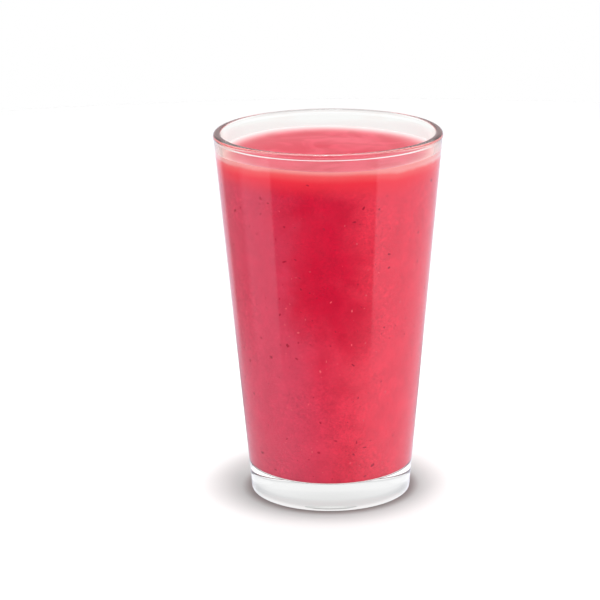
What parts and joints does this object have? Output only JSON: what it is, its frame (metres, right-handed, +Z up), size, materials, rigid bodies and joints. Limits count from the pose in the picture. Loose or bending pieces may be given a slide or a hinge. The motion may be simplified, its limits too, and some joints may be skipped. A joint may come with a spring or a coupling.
{
  "type": "strawberry smoothie in a glass",
  "caption": "Thick strawberry smoothie filling a plain tapered clear drinking glass to just below its rounded rim; stands on a heavy flat base.",
  "frame": {"origin": "centre of the foot of the glass, on the table", "axes": "+Z up along the axis of the glass; +X and +Y lie in the table, with -Y towards the viewer"},
  "size_m": [0.089, 0.089, 0.1447],
  "materials": {
    "clear_glass": "clear, smooth, fire-polished lip",
    "smoothie": null
  },
  "bodies": {
    "root": {"glass": "clear_glass", "smoothie": "smoothie"}
  },
  "joints": []
}
